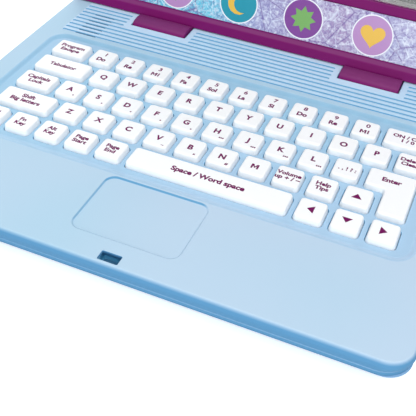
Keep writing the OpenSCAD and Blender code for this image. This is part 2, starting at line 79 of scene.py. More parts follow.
# ---- Studio -------------------------------------------------------------------------------
# A white table in a white room. Broad soft lamps hang overhead, high at the front right and low
# at the front, so that nothing in view is in hard shade, and a weak one lights the back.
def linear(red, green, blue):
    """A colour as the shaders want it, from its screen values of 0 to 255."""
    return tuple((c / 255 / 12.92) if c <= 10 else ((c / 255 + 0.055) / 1.055) ** 2.4
                 for c in (red, green, blue)) + (1,)


def surface(material):
    return material.node_tree.nodes["Principled BSDF"].inputs


def new_material(name, specular=0.5):
    material = bpy.data.materials.new(name)
    material.use_nodes = True
    surface(material)["Specular IOR Level"].default_value = specular
    return material


def add_node(owner, kind, **settings):
    """A new shader node of a material or a world, with its settings."""
    node = owner.node_tree.nodes.new("ShaderNode" + kind)
    for name, value in settings.items():
        if name in node.inputs:
            node.inputs[name].default_value = value
        else:
            setattr(node, name.lower(), value)
    return node


def join(owner, output, socket):
    owner.node_tree.links.new(output, socket)


def soft_lamp(name, place, target, size, power):
    lamp = bpy.data.objects.new(name, bpy.data.lights.new(name, "AREA"))
    lamp.data.shape = "DISK"
    lamp.data.size = size
    lamp.data.energy = power
    lamp.location = place
    lamp.rotation_euler = (Vector(target) - Vector(place)).to_track_quat("-Z", "Y").to_euler()
    bpy.context.scene.collection.objects.link(lamp)


def table_top():
    """The pale table: white to the eye, and it still takes the object's shadow."""
    mesh = bpy.data.meshes.new("table_top")
    reach = 8.0
    mesh.from_pydata([(-reach, -reach, 0), (reach, -reach, 0), (reach, reach, 0),
                      (-reach, reach, 0)], [], [(0, 1, 2, 3)])
    table = bpy.data.objects.new("table_top", mesh)
    bpy.context.scene.collection.objects.link(table)
    material = new_material("table_white", 0.1)
    surface(material)["Base Color"].default_value = (0.8, 0.8, 0.8, 1)
    surface(material)["Roughness"].default_value = 0.9
    surface(material)["Emission Color"].default_value = (1, 1, 1, 1)
    seen = add_node(material, "Math", Operation="MULTIPLY")
    glow = 0.6
    seen.inputs[1].default_value = glow
    join(material, add_node(material, "LightPath").outputs["Is Camera Ray"], seen.inputs[0])
    join(material, seen.outputs[0], surface(material)["Emission Strength"])
    mesh.materials.append(material)


def white_room():
    world = bpy.data.worlds.new("white_room")
    world.use_nodes = True
    room = world.node_tree.nodes["Background"]
    room.inputs["Color"].default_value = (0.95, 0.98, 1, 1)
    room.inputs["Strength"].default_value = 0.48
    backdrop = add_node(world, "Background", Color=(1, 1, 1, 1), Strength=1)
    ray = add_node(world, "LightPath")
    either = add_node(world, "Math", Operation="MAXIMUM")
    join(world, ray.outputs["Is Camera Ray"], either.inputs[0])
    join(world, ray.outputs["Is Transmission Ray"], either.inputs[1])
    mix = add_node(world, "MixShader")
    for k, source in enumerate((either, room, backdrop)):
        join(world, source.outputs[0], mix.inputs[k])
    join(world, mix.outputs[0], world.node_tree.nodes["World Output"].inputs["Surface"])
    bpy.context.scene.world = world


table_top()
white_room()
soft_lamp("lamp_high", (-0.1, 0.0, 1.9), (0, 0, 0.02), 1.6, 10)
soft_lamp("lamp_front", (0.6, -1.0, 1.4), (0, -0.02, 0.05), 1.3, 13)
soft_lamp("lamp_low", (0.25, -1.7, 0.3), (0, 0, 0.03), 1.0, 9)
soft_lamp("lamp_back", (-0.6, 1.2, 0.9), (0, 0, 0.08), 1.0, 5)


# ---- Bottom of the base -------------------------------------------------------------------
# Both halves of the base are injection moulded from one light blue plastic. Faces turned up
# are painted paler, as painted highlight, and the walls and the edges deeper, as painted shade.
# The bottom half and the battery door have a duller finish than the top.
def coordinates(material):
    return add_node(material, "TexCoord").outputs


def axes(material, vector):
    """The three parts of a vector."""
    split = add_node(material, "SeparateXYZ")
    join(material, vector, split.inputs[0])
    return split.outputs


def texture(material, kind, **settings):
    """A procedural texture that is fixed to the object."""
    node = add_node(material, "Tex" + kind, **settings)
    join(material, coordinates(material)["Object"], node.inputs["Vector"])
    return node.outputs


def remap(material, value, low, high, to_low=0.0, to_high=1.0):
    """A value's way from low to high, as a way from to_low to to_high."""
    node = add_node(material, "MapRange")
    for name, setting in (("From Min", low), ("From Max", high), ("To Min", to_low),
                          ("To Max", to_high)):
        node.inputs[name].default_value = setting
    join(material, value, node.inputs["Value"])
    return node.outputs["Result"]


def blend(material, factor, first, second):
    """A mix of two colours, each given as it is or as another node's output."""
    node = add_node(material, "MixRGB")
    join(material, factor, node.inputs["Fac"])
    for name, colour in (("Color1", first), ("Color2", second)):
        if isinstance(colour, tuple):
            node.inputs[name].default_value = colour
        else:
            join(material, colour, node.inputs[name])
    return node.outputs["Color"]


def fine_grain(material, scale, height, roughness, spread):
    """Mould texture: fine bumps, and a roughness that drifts a little across the surface."""
    grain = texture(material, "Noise", Scale=scale, Detail=3.0, Roughness=0.6)
    drift = texture(material, "Noise", Scale=scale / 60, Detail=2.0)
    bump = add_node(material, "Bump", Strength=0.35, Distance=height)
    join(material, grain["Fac"], bump.inputs["Height"])
    join(material, bump.outputs["Normal"], surface(material)["Normal"])
    rough = remap(material, drift["Fac"], 0, 1, roughness - spread, roughness + spread)
    join(material, rough, surface(material)["Roughness"])
    return drift["Fac"]


def base_plastic(name, lit_flat_colour, shaded_side_colour=(84, 145, 189), specular=0.3, far_shade_colour=None,
                 facing=((0, 0, 1), 0.35, 0.97)):
    """The base's plastic: painted shade on its sides, painted light as a face turns to a
    direction.
    """
    direction, shade_until, lit_from = facing
    material = new_material(name, specular)
    fine_grain(material, 900, 0.02 * mm, 0.5, 0.06)
    red, green, blue = lit_flat_colour
    patches = remap(material, texture(material, "Noise", Scale=9.0, Detail=1.0)["Fac"], 0.35, 0.65)
    flat = blend(material, patches, linear(*lit_flat_colour), linear(red + 11, green + 2, blue + 2))
    place = coordinates(material)
    # Painted shade: the flat colour drifts to the far shade colour towards the back of the base.
    if far_shade_colour:
        near_y, far_y = -50 * mm, 40 * mm
        away = remap(material, axes(material, place["Object"])["Y"], near_y, far_y)
        flat = blend(material, away, flat, linear(*far_shade_colour))
    # Painted light and shade: the colour goes from the shaded side colour to the lit flat one as
    # the face turns to the direction.
    turned = add_node(material, "VectorMath", Operation="DOT_PRODUCT")
    turned.inputs[1].default_value = direction
    join(material, place["Normal"], turned.inputs[0])
    lit_share = remap(material, turned.outputs["Value"], shade_until, lit_from)
    join(material, blend(material, lit_share, linear(*shaded_side_colour), flat),
         surface(material)["Base Color"])
    return material


def dress(node, *materials):
    """Gives a carried-over piece its finish."""
    slots = frame["nodes"][node].data.materials
    slots.clear()
    for material in materials:
        slots.append(material)


matt_blue = base_plastic("belly_plastic", (150, 200, 232), (122, 184, 226), 0.05)
for node in ("base_bottom_shell", "battery_door"):
    dress(node, matt_blue)


# ---- Top shell of the base ----------------------------------------------------------------
# One moulding: the palm rest with its shallow touchpad and latch slot, the key recess with an
# aperture for every key, the ribbed panel with the speaker slots, and hinge pockets. The recess
# floor and the pockets are deeper in colour: partly their own tone, partly painted shade.
def outline(corners, inset=0.0, steps=8):
    """Points round a polygon with round corners, each corner (x, y, radius), moved inwards."""
    points = []
    count = len(corners)
    for i, (x, y, radius) in enumerate(corners):
        here = Vector((x, y))
        before = (here - Vector(corners[i - 1][:2])).normalized()
        after = (Vector(corners[(i + 1) % count][:2]) - here).normalized()
        in_before, in_after = Vector((-before.y, before.x)), Vector((-after.y, after.x))
        here += (in_before + in_after) * (inset / (1 + in_before.dot(in_after)))
        turn = math.atan2(before.cross(after), before.dot(after))
        bend = 1 if turn > 0 else -1
        r = max(radius - bend * inset, 0.02 * mm)
        middle = here - before * (r * math.tan(abs(turn) / 2)) + in_before * (bend * r)
        start = math.atan2(-bend * in_before.y, -bend * in_before.x)
        for k in range(steps + 1):
            angle = start + turn * k / steps
            points.append((middle.x + r * math.cos(angle), middle.y + r * math.sin(angle)))
    return points


def round_rect(x0, y0, x1, y1, radius):
    return [(x0, y0, radius), (x1, y0, radius), (x1, y1, radius), (x0, y1, radius)]


class Moulding:
    """A piece built up of rings of points, walls between rings, and flat faces with holes."""

    def __init__(self, name):
        self.name = name
        self.mesh = bmesh.new()

    def ring(self, points, z):
        return [self.mesh.verts.new((x, y, z)) for x, y in points]

    def wall(self, rings, finish=0):
        for a, b in zip(rings, rings[1:]):
            for i in range(len(a)):
                j = (i + 1) % len(a)
                face = self.mesh.faces.new((a[i], a[j], b[j], b[i]))
                face.smooth = True
                face.material_index = finish

    def flat(self, outer, holes=(), finish=0):
        """Fills the plane between an outer ring and its holes."""
        if not holes:
            face = self.mesh.faces.new(outer)
            face.material_index = finish
            return
        edges = []
        for ring in (outer, *holes):
            for i in range(len(ring)):
                pair = (ring[i - 1], ring[i])
                edges.append(self.mesh.edges.get(pair) or self.mesh.edges.new(pair))
        filled = bmesh.ops.triangle_fill(self.mesh, use_beauty=True, edges=edges,
                                         normal=(0, 0, 1))
        for face in filled["geom"]:
            if isinstance(face, bmesh.types.BMFace):
                face.material_index = finish

    def solid(self, rings, finish=0):
        """Walls between rings, closed by a flat face at each end."""
        self.wall(rings, finish)
        self.flat(rings[0], (), finish)
        self.flat(rings[-1], (), finish)

    def made(self, materials, place=None):
        bmesh.ops.recalc_face_normals(self.mesh, faces=self.mesh.faces)
        if place:
            self.mesh.transform(place)
        data = bpy.data.meshes.new(self.name)
        self.mesh.to_mesh(data)
        self.mesh.free()
        for material in materials:
            data.materials.append(material)
        piece = bpy.data.objects.new(self.name, data)
        bpy.context.scene.collection.objects.link(piece)
        return piece


def rounded_edge(z, radius, steps=5, down=-1):
    """Ring places for a rounded edge, from the flat face outwards and then down: (inset, z)."""
    return [(radius * (1 - math.sin(math.pi / 2 * k / steps)),
             z + down * radius * (1 - math.cos(math.pi / 2 * k / steps)))
            for k in range(steps + 1)]


low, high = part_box("base_top_shell")
top_z = high.z
skirt_z = top_z - 9 * mm
front = low.y
edge_r = 1.8 * mm
edge_stretch = 2.2
shell_wall = 2.2 * mm
ceiling_z = top_z - shell_wall
base_corner = 12 * mm
recess_x = 119.65 * mm
recess_corner = 9 * mm
ramp_w = 3.2 * mm
ramp_front = 1.6 * mm
ramp_steps = 7
recess_near, recess_far = front + 58.2 * mm, front + 157.2 * mm
recess_z = top_z - 1.6 * mm
plate_under_z = recess_z - 2 * mm
key_gap_under = 0.3 * mm
opening_corner = 2.4 * mm
flange = 0.9 * mm
pad_x = 26.85 * mm
pad_near, pad_far = front + 15.3 * mm, front + 53.7 * mm
pad_corner = 5.2 * mm
pad_deep, pad_edge_w = 0.75 * mm, 1.1 * mm
groove_w = 1.3 * mm
groove_deep = 0.7 * mm
groove_pitch = 3.98 * mm
groove_y = [recess_far + 5.7 * mm + k * groove_pitch for k in range(9)]
speaker_slots = 7
slot_x = (-111.2 * mm, -97.3 * mm)
barrel_x, barrel_half = 66.7 * mm, 17.7 * mm
pocket_half = barrel_half + 0.5 * mm
pocket_near, pocket_far = front + 185.57 * mm, front + 203.7 * mm
pocket_deep = 12.2 * mm
latch = (-4.9 * mm, front + 2.6 * mm, 4.9 * mm, front + 7.9 * mm)
latch_deep = 6.6 * mm
well_corner, well_wall = 0.5 * mm, 1 * mm
in_recess_and_shade, in_slit, on_step_shade, on_ribs_highlight, in_latch_shade, on_pad_shade, on_lit_ramp = range(1, 8)
single_keys = [n for n in frame["nodes"] if n.startswith("key_")
               and n not in ("key_membrane", "key_board", "key_enter")]
key_pitch = 17.5 * mm
key_gap, row_gap = 3.3 * mm, 3.8 * mm


def s_edge(moulding, corners, z0, z1, width, finish=0):
    """A soft step from the height z0 down to z1, across the width: its outer and inner rings."""
    rings = []
    for k in range(8):
        share = k / 7
        z = z0 + (z1 - z0) * (0.5 - 0.5 * math.cos(math.pi * share))
        rings.append(moulding.ring(outline(corners, width * (share - 0.5)), z))
    moulding.wall(rings, finish)
    return rings[0], rings[-1]


def cap_boxes(node):
    """The cap outlines under a node: low x, low y, high x, high y, without the hidden flange."""
    a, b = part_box(node)
    count = max(1, round((b.x - a.x) / key_pitch)) if node.startswith("keys_") else 1
    width = b.x - a.x - (count - 1) * key_pitch
    return [(a.x + c * key_pitch + flange, a.y + flange,
             a.x + c * key_pitch + width - flange, b.y - flange) for c in range(count)]


def enter_corners(radius, inner):
    """The L-shaped enter key: a wide upper part, and a leg down at the right."""
    a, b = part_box("key_enter")
    x0, y0, x1, y1 = a.x + flange, a.y + flange, b.x - flange, b.y - flange
    leg_x = x1 - (key_pitch - key_gap)
    step_y = y1 - (y1 - y0 - row_gap) / 2
    return [(leg_x, y0, radius), (x1, y0, radius), (x1, y1, radius), (x0, y1, radius),
            (x0, step_y, radius), (leg_x, step_y, inner)]


def top_shell():
    shell = Moulding("deck_shell")
    rim = round_rect(low.x, front, high.x, high.y, base_corner)
    outside = [shell.ring(outline(rim, inset, 12), top_z - edge_stretch * (top_z - z))
               for inset, z in rounded_edge(top_z, edge_r, 8)]
    # A lip runs round the foot of the skirt and stands a little proud of it.
    foot = round_rect(low.x, front, high.x, high.y, base_corner + 2.5 * mm)
    lip = ((0.7, 2.7), (0.71, 2.6), (0.67, 2.54), (0.48, 2.2), (0.45, 2.14), (0.44, 2.05),
           (0.4, 0.5), (0.8, 0))
    outside += [shell.ring(outline(foot, inset * mm, 12), skirt_z + up * mm)
                for inset, up in lip]
    outside.append(shell.ring(outline(rim, shell_wall, 12), skirt_z))
    outside.append(shell.ring(outline(rim, shell_wall, 12), ceiling_z))
    shell.wall(outside)
    deck_holes, ceiling_holes = [], []

    recess = round_rect(-recess_x, recess_near, recess_x, recess_far, recess_corner)
    ramp = []
    for k in range(ramp_steps + 1):
        share = k / ramp_steps
        wider = round_rect(-recess_x, recess_near - ramp_front * (1 - share),
                           recess_x, recess_far, recess_corner)
        drop = (top_z - recess_z) * (0.5 - 0.5 * math.cos(math.pi * share))
        ramp.append(shell.ring(outline(wider, ramp_w * (share - 0.5)), top_z - drop))
    shell.wall(ramp, on_lit_ramp)
    deck_holes.append(ramp[0])
    under_top, under_foot = [shell.ring(outline(recess, -shell_wall), z)
                             for z in (ceiling_z, plate_under_z)]
    shell.wall([under_top, under_foot])
    ceiling_holes.append(under_top)

    pad = round_rect(-pad_x, pad_near, pad_x, pad_far, pad_corner)
    pad_top, pad_floor = s_edge(shell, pad, top_z, top_z - pad_deep, pad_edge_w, on_pad_shade)
    deck_holes.append(pad_top)
    shell.flat(pad_floor)

    def mouth(corners, z_top, z_under, soft, angles):
        """Rings down through an opening, with a small round on its upper edge."""
        rings = [shell.ring(outline(corners, -soft * (1 - math.sin(a)), 4),
                            z_top - soft * (1 - math.cos(a))) for a in angles]
        rings.append(shell.ring(outline(corners, 0, 4), z_under))
        return rings

    def opening(corners, z_top, z_under, soft, finish=0):
        rings = mouth(corners, z_top, z_under, soft, (0, math.pi / 6, math.pi / 3, math.pi / 2))
        shell.wall(rings, finish)
        return rings[0], rings[-1]

    def well(hole, room, z_floor, soft, finish):
        """A pocket that opens out under the deck, with a thin wall and floor of its own."""
        top, under_ring = opening(round_rect(*hole, well_corner), top_z, ceiling_z, soft)
        deck_holes.append(top)
        room = round_rect(*room, well_corner)
        inside = [shell.ring(outline(room, 0, 4), z) for z in (ceiling_z, z_floor)]
        outside = [shell.ring(outline(room, -well_wall, 4), z)
                   for z in (ceiling_z, z_floor - well_wall)]
        shell.wall([under_ring, *inside], finish)
        shell.flat(inside[-1], (), finish)
        shell.wall(outside)
        shell.flat(outside[-1])
        ceiling_holes.append(outside[0])

    latch_far, pocket_front = latch[3] + 1.3 * mm, pocket_near - 1.1 * mm
    # The inside of the latch well is painted dark, as shade.
    well(latch, (*latch[:3], latch_far), top_z - latch_deep, 0.3 * mm, in_latch_shade)
    for side in (-1, 1):
        x0, x1 = side * barrel_x - pocket_half, side * barrel_x + pocket_half
        well((x0, pocket_near, x1, pocket_far), (x0, pocket_front, x1, pocket_far),
             top_z - pocket_deep, 0.5 * mm, in_recess_and_shade)

    def groove(x0, x1, y):
        """A groove with its floor left open; the lower part of its sides gets a deeper colour,
        painted shade.
        """
        corners = round_rect(x0, y - groove_w / 2, x1, y + groove_w / 2, groove_w / 2.1)
        rings = mouth(corners, top_z, top_z - groove_deep, 0.45 * mm,
                      (0, math.pi / 8, math.pi / 4, math.pi / 2.6, math.pi / 2))
        shell.wall(rings[:3])
        shell.wall(rings[2:], on_step_shade)
        deck_holes.append(rings[0])
        return rings[-1]

    # The grooves stop short of the pockets, and the speaker slots are a little narrower.
    keep = pocket_half + 4 * mm
    for k, y in enumerate(groove_y):
        ends = [-recess_x, recess_x]
        if y > pocket_near - well_wall - groove_pitch / 2:
            ends = [-recess_x, -barrel_x - keep, -barrel_x + keep, barrel_x - keep,
                    barrel_x + keep, recess_x]
        for x0, x1 in zip(ends[::2], ends[1::2]):
            floor = groove(x0, x1, y)
            if k < speaker_slots and x0 < slot_x[0]:
                slot = round_rect(slot_x[0], y - groove_w * 0.46, slot_x[1],
                                  y + groove_w * 0.46, groove_w * 0.4)
                slit = [shell.ring(outline(slot, 0, 4), z)
                        for z in (top_z - groove_deep, ceiling_z)]
                shell.wall(slit, in_slit)
                shell.flat(floor, [slit[0]])
                ceiling_holes.append(slit[1])
            else:
                shell.flat(floor)

    openings = [round_rect(x0 - key_gap_under, y0 - key_gap_under, x1 + key_gap_under,
                           y1 + key_gap_under, opening_corner)
                for node in (*single_keys, "keys_home_row", "keys_lower_row")
                for x0, y0, x1, y1 in cap_boxes(node)]
    # The walls of the key openings get the deep colour of painted shade.
    rings = [opening(corners, recess_z, plate_under_z, 0.4 * mm, on_step_shade)
             for corners in openings]
    around_enter = outline(enter_corners(2.1 * mm, 1.6 * mm), -key_gap_under, 3)
    rings.append([shell.ring(around_enter, z) for z in (recess_z, plate_under_z)])
    shell.wall(rings[-1], on_step_shade)
    plate_holes, plate_under_holes = zip(*rings)
    shell.flat(ramp[-1], plate_holes, in_recess_and_shade)
    shell.flat(under_foot, plate_under_holes)
    margin, margin_behind = 0.5 * mm, 2.2 * mm
    back_y = groove_y[0] - groove_w / 2 - margin
    ribbed = round_rect(-recess_x - margin, back_y, recess_x + margin, high.y - margin_behind,
                        margin)
    back = shell.ring(outline(ribbed), top_z)
    behind = [ring for ring in deck_holes if ring[0].co.y > back_y]
    ahead = [ring for ring in deck_holes if ring not in behind]
    # The ribbed panel gets a paler colour, a painted highlight between the grooves.
    shell.flat(back, behind, on_ribs_highlight)
    shell.flat(outside[0], [*ahead, back])
    shell.flat(outside[-1], ceiling_holes)
    blue_plastic = base_plastic("base_plastic", (176, 208, 228), far_shade_colour=(176, 207, 227))
    # The recess floor and the hinge pockets: the plastic's own deeper tone, and painted shade
    # among the keys and in the pockets.
    recess_blue_and_shade = base_plastic("recess_plastic_and_shade", (158, 199, 225), (122, 176, 214))
    slit_shade = base_plastic("slit_shade", (34, 96, 140), (34, 96, 140))
    # Painted shade: a deep blue for the lower sides of the grooves and the walls of the key
    # openings.
    step_shade_blue = base_plastic("step_shade_plastic", (158, 202, 226), (78, 158, 206))
    # Painted highlight: the flats between the grooves are paler than the palm rest, with deeper
    # walls as painted shade.
    ribbed_highlight_blue = base_plastic("ribbed_highlight_plastic", (187, 219, 241), (92, 160, 208))
    # Painted shade: a dark teal for the inside of the latch well.
    latch_shade_blue = base_plastic("latch_well_shade", (70, 129, 164), (83, 160, 196))
    # Painted shade: the touchpad's step turns deep blue only where it faces the front, on its back
    # edge.
    touchpad_shade = base_plastic("pad_edge_shade_plastic", (172, 206, 228), (94, 154, 194),
                            facing=((-0.5, 0.85, 0), -0.5, -0.1))
    # Painted light: slopes that face the back, such as the recess's front slope, get a paler
    # colour.
    ramp_lit_blue = base_plastic("recess_edge_lit_plastic", (180, 216, 241), (142, 185, 212),
                             facing=((-0.5, 0.85, 0), -0.5, 0.45))
    piece = shell.made([blue_plastic, recess_blue_and_shade, slit_shade, step_shade_blue, ribbed_highlight_blue,
                        latch_shade_blue, touchpad_shade, ramp_lit_blue])
    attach(piece, "base")
    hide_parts("base_top_shell")


top_shell()


# ---- Keys ---------------------------------------------------------------------------------
# 56 white caps, each moulded with a soft upper edge and a hidden flange that the recess plate
# holds down. The legends are pad printed in purple ink: letters, numbers and a scale of notes.
def tinted(material, drift, colour, amount):
    """A colour that wanders slightly towards a deeper one, as regrind and gloss do."""
    deeper = tuple(c * (1 - amount) for c in colour[:3]) + (1,)
    return blend(material, drift, colour, deeper)


def plain_finish(name, colour, roughness, metal=0.0, grain=600, height=0.02, amount=0.12,
                 specular=0.5, spread=0.06):
    material = new_material(name, specular)
    surface(material)["Metallic"].default_value = metal
    drift = fine_grain(material, grain, height * mm, roughness, spread)
    join(material, tinted(material, drift, linear(*colour), amount),
         surface(material)["Base Color"])
    return material


def circle(radius, steps, x=0.0, y=0.0):
    return [(x + radius * math.cos(2 * math.pi * k / steps),
             y + radius * math.sin(2 * math.pi * k / steps)) for k in range(steps)]


cap_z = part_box("key_q")[1].z
flange_thick = 1.2 * mm
cap_foot_z = plate_under_z - 0.3 * mm - flange_thick
cap_soft = 0.85 * mm
cap_taper = 0.45 * mm
cap_corner = 2.3 * mm
ink_high = 0.02 * mm
in_ink = 1
home_letters = "ASDFGHJKL"
lower_letters = "ZXCVBNM"
note_names = dict(zip("1234567890", ("Do", "Re", "Mi", "Fa", "Sol", "La", "Si", "Do", "Re",
                                     "Mi")))
two_line_words = {
    "key_escape": ("Program", "Escape"), "key_caps_lock": ("Capitals", "Lock"),
    "key_shift": ("Shift", "Big letters"), "key_control": ("Ctrl", "Key"),
    "key_function": ("Fn", "Key"), "key_alt": ("Alt", "Key"), "key_home": ("Page", "Start"),
    "key_end": ("Page", "End"), "key_volume": ("Volume", "up + / −"),
    "key_help": ("Help", "Tips"), "key_delete": ("Delete", "Clear"),
    "key_on_off": ("ON / OFF", "1 / 0")}
arrow_turns = {"key_up": 0, "key_left": 90, "key_down": 180, "key_right": 270}


def inked_patch(moulding, points, z):
    """Prints a plain shape, given by its corners counterclockwise."""
    moulding.solid([moulding.ring(points, z - ink_high), moulding.ring(points, z + ink_high)],
                   in_ink)


def capital_m(moulding, x, y, z, size):
    half, tall, stem = 0.39 * size, 0.345 * size, 0.19 * size
    right = [(half - stem, 0.2 * tall), (half - stem, -tall), (half, -tall), (half, tall),
             (half - 1.2 * stem, tall), (0, -0.05 * tall)]
    left = [(-a, b) for a, b in reversed(right[:-1])]
    points = [(0, -0.75 * tall)] + right + left
    inked_patch(moulding, [(x + a, y + b) for a, b in points], z)


def pad_print(moulding, words, x, y, z, size, wide=1.0, bold=0.044):
    """Prints words on a flat face, as ink that stands a hair above it."""
    if words[0] == "M":
        # This heavy letter has its own drawing, set to the left of the rest of its word.
        words = words[1:]
        capital_m(moulding, x - 0.2 * size * len(words), y, z, size)
        x += 0.42 * size
    if not words:
        return
    # The figure 9 is a 6 turned round.
    letters = bpy.data.curves.new("letters", "FONT")
    letters.body = "6" if words == "9" else words
    letters.size = size
    letters.offset = bold * size
    letters.align_x = "CENTER"
    letters.align_y = "CENTER"
    letters.resolution_u = 4
    letters.extrude = ink_high
    holder = bpy.data.objects.new("letters", letters)
    flat = bpy.data.meshes.new_from_object(holder)
    turn = Matrix.Rotation(math.pi if words == "9" else 0, 4, "Z")
    flat.transform(Matrix.Translation((x, y, z)) @ Matrix.Diagonal((wide, 1, 1, 1)) @ turn)
    for face in flat.polygons:
        face.material_index = in_ink
    moulding.mesh.from_mesh(flat)
    bpy.data.meshes.remove(flat)
    bpy.data.objects.remove(holder)
    bpy.data.curves.remove(letters)


def key_cap(moulding, corners):
    shape = lambda inset: outline(corners, inset, 6)
    rings = [moulding.ring(shape(-flange), cap_foot_z),
             moulding.ring(shape(-flange), cap_foot_z + flange_thick),
             moulding.ring(shape(0), cap_foot_z + flange_thick),
             moulding.ring(shape(0), recess_z)]
    rings += [moulding.ring(shape(cap_taper + inset), z)
              for inset, z in reversed(rounded_edge(cap_z, cap_soft))]
    moulding.solid(rings)


def key_legend(moulding, node, index, x, y):
    """Puts the legend on the cap whose middle is at x, y."""
    print_x, y = x + 0.1 * mm, y - 0.45 * mm
    if node.startswith("keys_"):
        letter = (home_letters if node == "keys_home_row" else lower_letters)[index]
        pad_print(moulding, letter, print_x, y, cap_z, 5 * mm)
        if letter in "ASDFG":
            inked_patch(moulding, circle(0.5 * mm, 8, x + 4.4 * mm, y - 4.3 * mm), cap_z)
        elif letter in "HJKL":
            wide, tall, low_y = 0.75 * mm, 1 * mm, y - 4.8 * mm
            for k in range(3):
                a = x + (2.8 + 0.95 * k) * mm
                inked_patch(moulding, [(a, low_y), (a + wide, low_y), (a + wide, low_y + tall),
                                       (a, low_y + tall)], cap_z)
        elif letter in "VBN":
            sign = {"V": "~", "B": "×", "N": "#"}[letter]
            pad_print(moulding, sign, x + 4 * mm, y - 4.5 * mm, cap_z, 2.4 * mm)
    elif node in arrow_turns:
        turn = math.radians(arrow_turns[node])
        arrow = [(-2.6, -1.7), (2.6, -1.7), (0, 1.8)]
        inked_patch(moulding, [(x - 0.25 * mm + (a * math.cos(turn) - b * math.sin(turn)) * mm,
                                y + 0.4 * mm + (a * math.sin(turn) + b * math.cos(turn)) * mm)
                               for a, b in arrow], cap_z)
    elif node[4:] in note_names:
        pad_print(moulding, node[4:], x + 0.7 * mm, y + 2.8 * mm, cap_z, 4.2 * mm, 1.1, 0.03)
        pad_print(moulding, note_names[node[4:]], x + 0.1 * mm, y - 2.6 * mm, cap_z, 4.4 * mm)
    elif node in two_line_words:
        size = 4 * mm if node in ("key_escape", "key_caps_lock", "key_shift") else 3.6 * mm
        for words, up in zip(two_line_words[node], (0.5, -0.44)):
            pad_print(moulding, words, print_x, y + up * size, cap_z, size, 1.1, 0.042)
    elif node == "key_tab":
        pad_print(moulding, "Tabulator", print_x, y, cap_z, 3.8 * mm, 1.1)
    elif node == "key_space":
        pad_print(moulding, "Space / Word space", print_x, y - 0.2 * mm, cap_z, 4.5 * mm, 1.05)
    elif node == "key_enter":
        pad_print(moulding, "Enter", print_x, y + 9.2 * mm, cap_z, 4.2 * mm, 1.05)
    elif node == "key_marks":
        pad_print(moulding, ". , ! ? :", x + 0.4 * mm, y - 0.3 * mm, cap_z, 3.9 * mm, 1.0, 0.03)
    else:
        pad_print(moulding, node[4:].upper(), print_x, y, cap_z, 5 * mm)


white_plastic = plain_finish("key_plastic", (251, 252, 253), 0.36, grain=700, amount=0.01,
                             specular=0.4, spread=0.05)
purple_ink = plain_finish("legend_ink", (118, 16, 90), 0.45, grain=1500, height=0.01,
                          specular=0.12, spread=0.08)
for node in (*single_keys, "key_enter", "keys_home_row", "keys_lower_row"):
    key = Moulding("cap_" + node.split("_", 1)[1])
    if node == "key_enter":
        shapes = [enter_corners(cap_corner, 1.8 * mm)]
    else:
        shapes = [round_rect(*box, cap_corner) for box in cap_boxes(node)]
    for index, corners in enumerate(shapes):
        key_cap(key, corners)
        xs, ys = [c[0] for c in corners], [c[1] for c in corners]
        key_legend(key, node, index, (min(xs) + max(xs)) / 2, (min(ys) + max(ys)) / 2)
    piece = key.made([white_plastic, purple_ink])
    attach(piece, node)
    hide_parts(node)


# ---- Rubber, boards and metal inside the base ---------------------------------------------
# Under the keys lies a grey silicone sheet on a green board. The feet are black rubber; the
# screws, pins and battery contacts are zinc plated steel; the speaker has a black frame.
steel = plain_finish("zinc_plated_steel", (186, 186, 188), 0.3, metal=1.0, grain=900)
foot_rubber = plain_finish("foot_rubber", (46, 46, 48), 0.75, grain=500, height=0.05)
silicone = plain_finish("silicone", (196, 199, 198), 0.6, grain=300, height=0.03)
board_green = plain_finish("board_green", (34, 104, 60), 0.4, grain=1200, amount=0.25)
black_frame = plain_finish("speaker_black", (38, 38, 41), 0.5, grain=700)
cell_wrap = plain_finish("cell_wrap", (70, 74, 84), 0.35, metal=0.2, grain=300, height=0.01,
                         amount=0.3)
for node in ("battery_contacts", "case_screws", "hinge_pins", "lid_screws"):
    dress(node, steel)
dress("rubber_feet", foot_rubber)
dress("key_membrane", silicone)
dress("key_board", board_green)
dress("main_board", board_green)
dress("speaker", black_frame)
dress("battery_cells", cell_wrap)


# ---- Frame of the lid ---------------------------------------------------------------------
# The purple front moulding of the lid: a raised rim, a sunk field for the printed panel, the
# surround of the display, two hinge barrels at the foot and the latch hook at the free end. What
# faces up on the open lid is painted paler, a painted sheen of the light from above.
hinge = next(joint for joint in frame["joints"] if joint["name"] == "lid_hinge")
lean = math.radians(15)
in_lid = Matrix.Translation(hinge["pos_m"]) @ Matrix.Rotation(math.pi / 2 - lean, 4, "X")
axis_deep = top_z - hinge["pos_m"][2]
lid_gap = 0.4 * mm
face = axis_deep + lid_gap
lid_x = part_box("lid_bezel")[1].x
lid_top = hinge["pos_m"][1] - front
lid_corner = 12 * mm
bezel_back = face + 4.5 * mm
lid_back = face + 12 * mm
rim_w = 8.2 * mm
field_z = -face - 2.2 * mm
foot_up = (axis_deep + face * math.sin(lean)) / math.cos(lean)
surround = (-90 * mm, foot_up + 35.4 * mm, 90 * mm, foot_up + 150.4 * mm)
surround_bar = 5.7 * mm
surround_corner = 5 * mm
surround_z = field_z + 0.8 * mm
ledge_z = field_z - 1 * mm
field_back = field_z - 1.5 * mm
lid_wall, foot_wall = 2 * mm, 5 * mm
foot_corner = 4 * mm


def foot_y(z):
    """Where the lid's level lower end lies at the depth z, in the lid's own frame."""
    return (axis_deep + lid_gap - z * math.sin(lean)) / math.cos(lean)


def lid_ring(moulding, inset, z, foot_inset=None):
    x0, y0 = lid_x - inset, foot_y(z) + (inset if foot_inset is None else foot_inset)
    y1, radius = lid_top - inset, max(lid_corner - inset, 1 * mm)
    corners = [(-x0, y0, foot_corner), (x0, y0, foot_corner), (x0, y1, radius),
               (-x0, y1, radius)]
    return moulding.ring(outline(corners, 0, 10), z)


